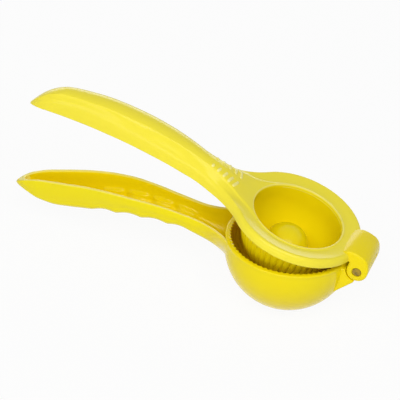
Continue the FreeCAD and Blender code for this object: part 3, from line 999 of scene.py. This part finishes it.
# painted shade inside the bowl, and less on its outside
def bowlPaintedShade(co):
    fromCentre = math.hypot(co.x, co.y, co.z - bowl["centreZ"])
    inside = fromCentre < bowl["radius"] - 1.2 and co.z < -0.2
    return bowl["paintedShadeInside"] if inside else lowerArm["paintedShadeOutside"]


# lug of the lower arm, with the knuckle that stands between the ears
lowerLug = {
    "halfWidth": 12.0,
    "side": [(28.5, -1.0), (28.5, -19.4), (29.6, -18.9), (34.6, -13.9), (40.2, -8.3), (40.6, -7.2),
             (40.2, -1.0)],
    "round": 0.8,
    "seatRadius": 6.15,
    "seatHalf": 6.0,
    "knuckleRadius": 5.8,
    "knuckleHalf": 6.0,
    "intoWall": 1.4,        # how far the lug reaches into the bowl's wall
}


def buildLowerLug():
    g = lowerLug
    block = sideBlock("lowerLugBlock", g["side"], g["halfWidth"], g["round"], 3)
    cutters = []
    for side in (-1, 1):
        seat = barrel("seatCutter", g["seatRadius"], g["seatHalf"])
        for v in seat.data.vertices:
            v.co.y += side * (g["knuckleHalf"] + g["seatHalf"])
        cutters.append(seat)
    ball = bmesh.new()
    bmesh.ops.create_uvsphere(ball, u_segments=96, v_segments=64, radius=bowl["radius"] - g["intoWall"])
    bmesh.ops.translate(ball, verts=ball.verts, vec=(0, 0, bowl["centreZ"]))
    cutters.append(looseObject("ballCutter", ball))
    cutWith(block, cutters)
    bm = takeMesh(block)
    joinInto(bm, takeMesh(barrel("knuckle", g["knuckleRadius"], g["knuckleHalf"])))
    return bm


def makeLowerArm():
    skin = buildLowerSkin()
    bm = thickened(newPiece("lowerSkin", skin, "lower", coatMat), lowerArm["wall"])
    swellInside(bm)
    roundRims(bm, lowerArm["rimSpan"], lowerArm["rimRound"])
    tip, ball, lug = buildLowerTip(), cutDrains(buildBowl()), buildLowerLug()
    # painted highlight on the tip, painted shade on the bowl and the lug
    paintLight(tip, "paintedHighlight", lambda co: lowerArm["rimHighlight"])
    paintLight(ball, "paintedShade", bowlPaintedShade)
    paintLight(lug, "paintedShade", lambda co: lowerArm["paintedShadeOutside"])
    for part in (tip, ball, lug):
        joinInto(bm, part)
    sharpEdges(bm)
    toRest(bm, False)
    piece = newPiece("lowerCasting", bm, "lower", coatMat)
    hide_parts("lower_arm")
    print("squeezer: lower casting", len(piece.data.polygons), "faces")


makeLowerArm()
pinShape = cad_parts["hinge_pin"].data
pinShape.materials.clear()
pinShape.materials.append(pinMat)

# studio
studio = {
    "floorSize": 6.0,
    "floorDrop": 0.0004,        # keeps the floor clear of the foot
    "floorColour": (0.82, 0.82, 0.82, 1),
    "floorGlow": 0.93,          # share of white that the camera and reflections see
    "worldStrength": 0.33,
    "aim": (-0.05, 0, 0.04),
    # place, size and power of each soft box
    "boxes": {
        "backBox": ((-0.5, 1.1, 0.35), (1.4, 0.45), 4.0),
        "cupBox": ((0.2, -0.82, 1.0), (1.5, 0.6), 10.8),
        "sideBox": ((-0.3, -1.3, 0.2), (1.3, 0.3), 2.8),
    },
}


def seesBackground(tree):
    # 1 for rays from the camera, off metal and through glass
    path = tree.nodes.new("ShaderNodeLightPath")
    total = path.outputs["Is Camera Ray"]
    for name in ("Is Glossy Ray", "Is Transmission Ray"):
        add = tree.nodes.new("ShaderNodeMath")
        add.operation = "ADD"
        add.use_clamp = True
        tree.links.new(total, add.inputs[0])
        tree.links.new(path.outputs[name], add.inputs[1])
        total = add.outputs[0]
    return total


def addFloor():
    bm = bmesh.new()
    bmesh.ops.create_grid(bm, x_segments=1, y_segments=1, size=studio["floorSize"] / 2)
    bmesh.ops.translate(bm, verts=bm.verts, vec=(0, 0, -studio["floorDrop"]))
    floor = looseObject("floor", bm)
    mat = bpy.data.materials.new("paleFloor")
    mat.use_nodes = True
    nodes = mat.node_tree.nodes
    links = mat.node_tree.links
    nodes.clear()
    out = nodes.new("ShaderNodeOutputMaterial")
    mix = nodes.new("ShaderNodeMixShader")
    paint = nodes.new("ShaderNodeBsdfDiffuse")
    paint.inputs["Color"].default_value = studio["floorColour"]
    glow = nodes.new("ShaderNodeEmission")
    glow.inputs["Strength"].default_value = 1.0
    share = nodes.new("ShaderNodeMath")
    share.operation = "MULTIPLY"
    share.inputs[1].default_value = studio["floorGlow"]
    links.new(seesBackground(mat.node_tree), share.inputs[0])
    links.new(share.outputs[0], mix.inputs["Fac"])
    links.new(paint.outputs[0], mix.inputs[1])
    links.new(glow.outputs[0], mix.inputs[2])
    links.new(mix.outputs[0], out.inputs["Surface"])
    floor.data.materials.append(mat)


def addLamp(name, spot, size, power):
    data = bpy.data.lights.new(name, "AREA")
    data.shape = "RECTANGLE"
    data.size, data.size_y = size
    data.energy = power
    lamp = bpy.data.objects.new(name, data)
    bpy.context.scene.collection.objects.link(lamp)
    lamp.location = spot
    aim = Vector(studio["aim"]) - Vector(spot)
    lamp.rotation_euler = aim.to_track_quat("-Z", "Y").to_euler()


def lightStudio():
    world = bpy.data.worlds.new("studio")
    bpy.context.scene.world = world
    world.use_nodes = True
    nodes = world.node_tree.nodes
    links = world.node_tree.links
    sky = nodes["Background"]
    backdrop = nodes.new("ShaderNodeBackground")
    for shade, strength in ((sky, studio["worldStrength"]), (backdrop, 1.0)):
        shade.inputs["Color"].default_value = (1, 1, 1, 1)
        shade.inputs["Strength"].default_value = strength
    mix = nodes.new("ShaderNodeMixShader")
    links.new(seesBackground(world.node_tree), mix.inputs["Fac"])
    links.new(sky.outputs[0], mix.inputs[1])
    links.new(backdrop.outputs[0], mix.inputs[2])
    links.new(mix.outputs[0], nodes["World Output"].inputs["Surface"])
    for name, (spot, size, power) in studio["boxes"].items():
        addLamp(name, spot, size, power)


addFloor()
lightStudio()
bpy.context.scene.view_settings.view_transform = "Standard"
print("squeezer: studio lit")
